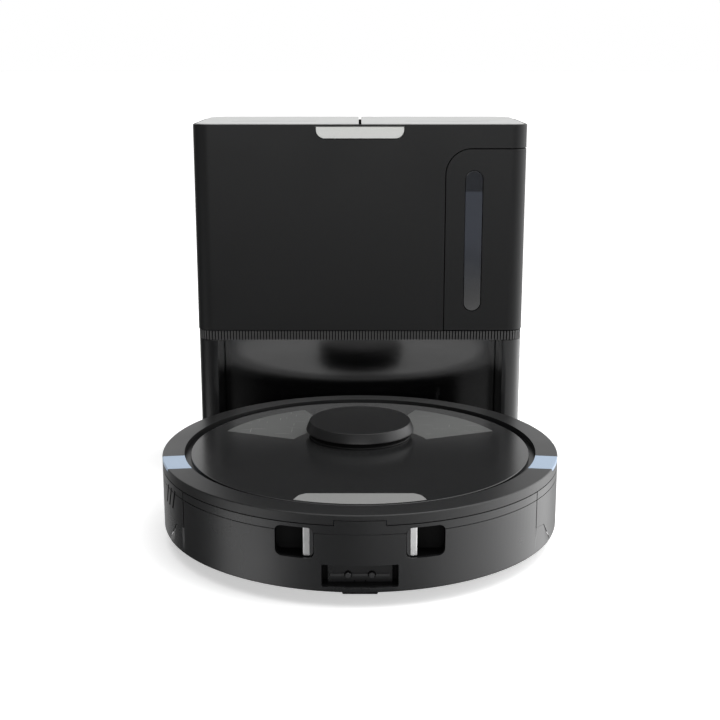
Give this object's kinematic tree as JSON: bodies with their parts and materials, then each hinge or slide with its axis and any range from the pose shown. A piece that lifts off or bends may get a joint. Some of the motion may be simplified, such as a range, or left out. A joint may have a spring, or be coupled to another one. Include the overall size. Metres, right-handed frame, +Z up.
{
  "type": "robot vacuum",
  "caption": "Low round robot vacuum with a lidar turret, docked in a tall self-emptying dock with a slide-out dust cup and hinged top covers.",
  "frame": {"origin": "centre of the object's box on the floor, with the robot docked", "axes": "+Z up, +Y from the robot's front to the dock's rear, +X to the right seen from the front"},
  "size_m": [0.34, 0.455, 0.3428],
  "materials": {
    "satin_black": "satin moulded, fine grain",
    "gloss_black": "polished gloss",
    "inner_black": "matte inner plastic",
    "light_grey": "satin light grey",
    "ice_blue": "satin gloss pale blue",
    "smoke": "smoked clear plastic",
    "grey_plastic": "matte grey",
    "rubber_black": "matte rubber",
    "steel": "brushed",
    "contact_brass": "polished",
    "board_green": "solder-mask lacquer",
    "filter_white": "pleated fibre",
    "bristle": "soft fins",
    "battery_wrap": "shrink film"
  },
  "bodies": {
    "root": {"dock_tray": "satin_black", "evac_seal": "rubber_black", "lower_housing": "satin_black", "alcove_panel": "gloss_black", "exhaust_band": "satin_black", "evac_duct": "grey_plastic", "upper_shell": "satin_black", "dock_motor": "steel", "hepa_filter": "filter_white", "power_board": "board_green", "power_inlet": "inner_black"},
    "dust_cup_body": {"dust_cup": "satin_black", "cup_window": "smoke", "cup_lid": "grey_plastic", "cyclone": "grey_plastic"},
    "cover_left": {"top_cover_left": "light_grey"},
    "cover_right": {"top_cover_right": "light_grey"},
    "release_tab_body": {"release_tab": "light_grey"},
    "dock_impeller_body": {"dock_impeller": "steel"},
    "contact_left": {"charge_contact_left": "contact_brass"},
    "contact_right": {"charge_contact_right": "contact_brass"},
    "robot": {"top_ring": "satin_black", "accent_left": "ice_blue", "accent_right": "ice_blue", "side_shell": "satin_black", "lid": "gloss_black", "badge": "light_grey", "turret_base": "inner_black", "turret_cap": "satin_black", "chassis_base": "inner_black", "caster_socket": "inner_black", "brush_housing": "inner_black", "brush_guard": "grey_plastic", "bumper_spring_left": "steel", "bumper_spring_right": "steel", "fan_housing": "grey_plastic", "battery_pack": "battery_wrap", "main_board": "board_green", "brush_motor": "steel", "side_brush_motor": "steel"},
    "bumper_body": {"bumper": "satin_black", "sensor_pocket_left": "inner_black", "sensor_pocket_right": "inner_black", "front_bay": "inner_black"},
    "lidar": {"lidar_rotor": "gloss_black"},
    "caster_swivel_body": {"caster_fork": "grey_plastic"},
    "caster_wheel_body": {"caster_wheel": "rubber_black"},
    "arm_left": {"wheel_arm_left": "grey_plastic"},
    "arm_right": {"wheel_arm_right": "grey_plastic"},
    "wheel_left": {"drive_hub_left": "grey_plastic", "drive_tyre_left": "rubber_black"},
    "wheel_right": {"drive_hub_right": "grey_plastic", "drive_tyre_right": "rubber_black"},
    "main_brush_body": {"main_brush": "bristle"},
    "side_brush_body": {"side_brush": "bristle"},
    "fan_impeller_body": {"fan_impeller": "steel"},
    "dustbin_body": {"dustbin": "inner_black", "bin_lid": "inner_black", "bin_filter": "filter_white"},
    "bin_button_body": {"bin_button": "grey_plastic"}
  },
  "joints": [
    {"name": "robot_drive", "type": "slide", "parent": "root", "child": "robot", "axis": [0, -1, 0], "range_m": [0, 0.35]},
    {"name": "dust_cup_slide", "type": "slide", "parent": "root", "child": "dust_cup_body", "axis": [1, 0, 0], "range_m": [0, 0.085]},
    {"name": "cover_left_hinge", "type": "hinge", "parent": "root", "child": "cover_left", "pos_m": [0, 0.2263, 0.3402], "axis": [-1, 0, 0], "range_deg": [0, 80]},
    {"name": "cover_right_hinge", "type": "hinge", "parent": "root", "child": "cover_right", "pos_m": [0, 0.2263, 0.3402], "axis": [-1, 0, 0], "range_deg": [0, 80]},
    {"name": "release_tab_press", "type": "slide", "parent": "root", "child": "release_tab_body", "axis": [0, 1, 0], "range_m": [0, 0.002], "stiffness_N_per_m": 300, "springref_m": -0.001},
    {"name": "dock_impeller_spin", "type": "hinge", "parent": "root", "child": "dock_impeller_body", "pos_m": [-0.085, 0.1535, 0.218], "axis": [0, 0, 1], "continuous": true},
    {"name": "contact_left_press", "type": "slide", "parent": "root", "child": "contact_left", "axis": [0, 0, -1], "range_m": [0, 0.0016], "stiffness_N_per_m": 400, "springref_m": -0.001},
    {"name": "contact_right_press", "type": "slide", "parent": "root", "child": "contact_right", "axis": [0, 0, -1], "range_m": [0, 0.0016], "stiffness_N_per_m": 400, "springref_m": -0.001},
    {"name": "bumper_press", "type": "slide", "parent": "robot", "child": "bumper_body", "axis": [0, 1, 0], "range_m": [0, 0.0035], "stiffness_N_per_m": 400, "springref_m": -0.002, "deforming": ["bumper_spring_left", "bumper_spring_right"]},
    {"name": "lidar_spin", "type": "hinge", "parent": "robot", "child": "lidar", "pos_m": [0, -0.0195, 0.08], "axis": [0, 0, 1], "continuous": true},
    {"name": "caster_swivel", "type": "hinge", "parent": "robot", "child": "caster_swivel_body", "pos_m": [0, -0.1725, 0.03], "axis": [0, 0, 1], "continuous": true},
    {"name": "caster_roll", "type": "hinge", "parent": "caster_swivel_body", "child": "caster_wheel_body", "pos_m": [0, -0.1685, 0.0115], "axis": [1, 0, 0], "continuous": true},
    {"name": "arm_left_drop", "type": "hinge", "parent": "robot", "child": "arm_left", "pos_m": [-0.092, -0.0995, 0.04], "axis": [-1, 0, 0], "range_deg": [0, 12], "stiffness_Nm_per_rad": 0.3, "springref_deg": 28.65},
    {"name": "wheel_left_roll", "type": "hinge", "parent": "arm_left", "child": "wheel_left", "pos_m": [-0.116, -0.0575, 0.031], "axis": [1, 0, 0], "continuous": true},
    {"name": "arm_right_drop", "type": "hinge", "parent": "robot", "child": "arm_right", "pos_m": [0.092, -0.0995, 0.04], "axis": [-1, 0, 0], "range_deg": [0, 12], "stiffness_Nm_per_rad": 0.3, "springref_deg": 28.65},
    {"name": "wheel_right_roll", "type": "hinge", "parent": "arm_right", "child": "wheel_right", "pos_m": [0.116, -0.0575, 0.031], "axis": [1, 0, 0], "continuous": true},
    {"name": "main_brush_spin", "type": "hinge", "parent": "robot", "child": "main_brush_body", "pos_m": [0, -0.0475, 0.0245], "axis": [1, 0, 0], "continuous": true},
    {"name": "side_brush_spin", "type": "hinge", "parent": "robot", "child": "side_brush_body", "pos_m": [0.098, -0.1455, 0.01], "axis": [0, 0, 1], "continuous": true},
    {"name": "fan_spin", "type": "hinge", "parent": "robot", "child": "fan_impeller_body", "pos_m": [-0.1, -0.1455, 0.0415], "axis": [0, 0, 1], "continuous": true},
    {"name": "dustbin_slide", "type": "slide", "parent": "robot", "child": "dustbin_body", "axis": [0, 1, 0], "range_m": [0, 0.028]},
    {"name": "bin_button_press", "type": "slide", "parent": "dustbin_body", "child": "bin_button_body", "axis": [0, -1, 0], "range_m": [0, 0.002], "stiffness_N_per_m": 300, "springref_m": -0.001}
  ],
  "couplings": [
    {"joint": "wheel_left_roll", "follows": "robot_drive", "rad_per_m": 32.258},
    {"joint": "wheel_right_roll", "follows": "robot_drive", "rad_per_m": 32.258}
  ]
}
